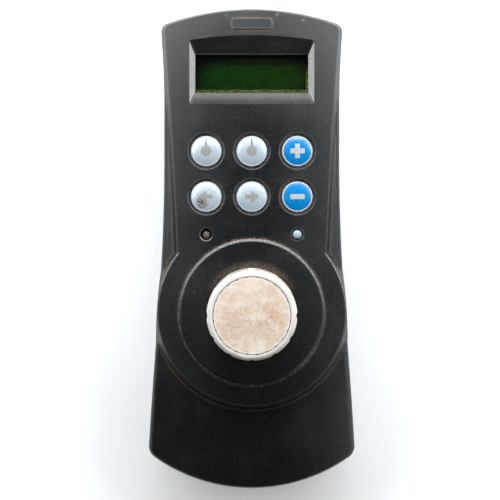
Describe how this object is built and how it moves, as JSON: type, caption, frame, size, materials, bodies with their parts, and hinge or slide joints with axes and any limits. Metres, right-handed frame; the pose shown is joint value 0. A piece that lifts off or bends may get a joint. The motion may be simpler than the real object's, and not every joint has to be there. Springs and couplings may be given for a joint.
{
  "type": "hand controller",
  "caption": "Handheld control terminal with a small display, round push keys, two indicator lamps and a large rotary knob on a raised disc.",
  "frame": {"origin": "centre of the flat back, which lies on Z = 0", "axes": "+Z out of the panel, +Y along the housing towards the display, +X across the panel to the right"},
  "size_m": [0.0894, 0.2052, 0.0547],
  "materials": {
    "housing": "fine spark-eroded texture, worn",
    "knob_white": "gloss",
    "knob_face": "satin, dusty",
    "key_cap": "gloss",
    "key_silver": "gloss",
    "key_blue": "gloss",
    "window": "clear",
    "lcd": "yellow-green, unlit",
    "backlight": "white",
    "board": "solder mask",
    "chip": "matte",
    "led_body": "diffused",
    "led_dull": "dusty",
    "steel": "brushed",
    "brass": "turned",
    "tin": "tinned",
    "seal": "matte",
    "label": "satin foil"
  },
  "bodies": {
    "housing": {"front_cover": "housing", "rear_cover": "housing", "housing_seal": "seal", "rear_label": "label", "housing_screws": "steel", "cover_inserts": "brass", "bracket_inserts": "brass", "board_screws": "steel", "main_board": "board", "microcontroller": "chip", "voltage_regulator": "chip", "filter_capacitors": "chip", "window_lens": "window", "lcd_gasket": "seal", "lcd_bezel": "steel", "lcd_backlight": "backlight", "lcd_glass": "lcd", "lcd_board": "board", "lcd_spacers": "brass", "lcd_screws": "steel", "lcd_header": "chip", "switch_bodies": "chip", "switch_covers": "steel", "switch_terminals": "tin", "led_left": "led_dull", "led_right": "led_body", "led_spacers": "chip", "led_leads": "tin", "encoder_body": "chip", "encoder_bushing": "tin", "encoder_washer": "steel", "encoder_nut": "brass", "encoder_terminals": "tin", "connector_shell": "tin", "connector_body": "chip", "connector_pins": "brass", "connector_jackscrews": "steel"},
    "knob_assembly": {"encoder_shaft": "steel", "knob": "knob_white", "knob_cap": "knob_face", "knob_collet": "brass", "knob_collet_nut": "brass"},
    "key_pointer_left_assembly": {"key_pointer_left": "key_cap", "key_face_pointer_left": "key_silver", "plunger_pointer_left": "chip"},
    "key_pointer_right_assembly": {"key_pointer_right": "key_cap", "key_face_pointer_right": "key_silver", "plunger_pointer_right": "chip"},
    "key_plus_assembly": {"key_plus": "key_cap", "key_face_plus": "key_blue", "plunger_plus": "chip"},
    "key_arrow_left_assembly": {"key_arrow_left": "key_cap", "key_face_arrow_left": "key_silver", "plunger_arrow_left": "chip"},
    "key_arrow_right_assembly": {"key_arrow_right": "key_cap", "key_face_arrow_right": "key_silver", "plunger_arrow_right": "chip"},
    "key_minus_assembly": {"key_minus": "key_cap", "key_face_minus": "key_blue", "plunger_minus": "chip"}
  },
  "joints": [
    {"name": "knob_spin", "type": "hinge", "parent": "housing", "child": "knob_assembly", "pos_m": [0, -0.0247, 0.046], "axis": [0, 0, 1], "continuous": true},
    {"name": "press_pointer_left", "type": "slide", "parent": "housing", "child": "key_pointer_left_assembly", "axis": [0, 0, -1], "range_m": [0, 0.001], "stiffness_N_per_m": 1500, "springref_m": -0.0008},
    {"name": "press_pointer_right", "type": "slide", "parent": "housing", "child": "key_pointer_right_assembly", "axis": [0, 0, -1], "range_m": [0, 0.001], "stiffness_N_per_m": 1500, "springref_m": -0.0008},
    {"name": "press_plus", "type": "slide", "parent": "housing", "child": "key_plus_assembly", "axis": [0, 0, -1], "range_m": [0, 0.001], "stiffness_N_per_m": 1500, "springref_m": -0.0008},
    {"name": "press_arrow_left", "type": "slide", "parent": "housing", "child": "key_arrow_left_assembly", "axis": [0, 0, -1], "range_m": [0, 0.001], "stiffness_N_per_m": 1500, "springref_m": -0.0008},
    {"name": "press_arrow_right", "type": "slide", "parent": "housing", "child": "key_arrow_right_assembly", "axis": [0, 0, -1], "range_m": [0, 0.001], "stiffness_N_per_m": 1500, "springref_m": -0.0008},
    {"name": "press_minus", "type": "slide", "parent": "housing", "child": "key_minus_assembly", "axis": [0, 0, -1], "range_m": [0, 0.001], "stiffness_N_per_m": 1500, "springref_m": -0.0008}
  ]
}
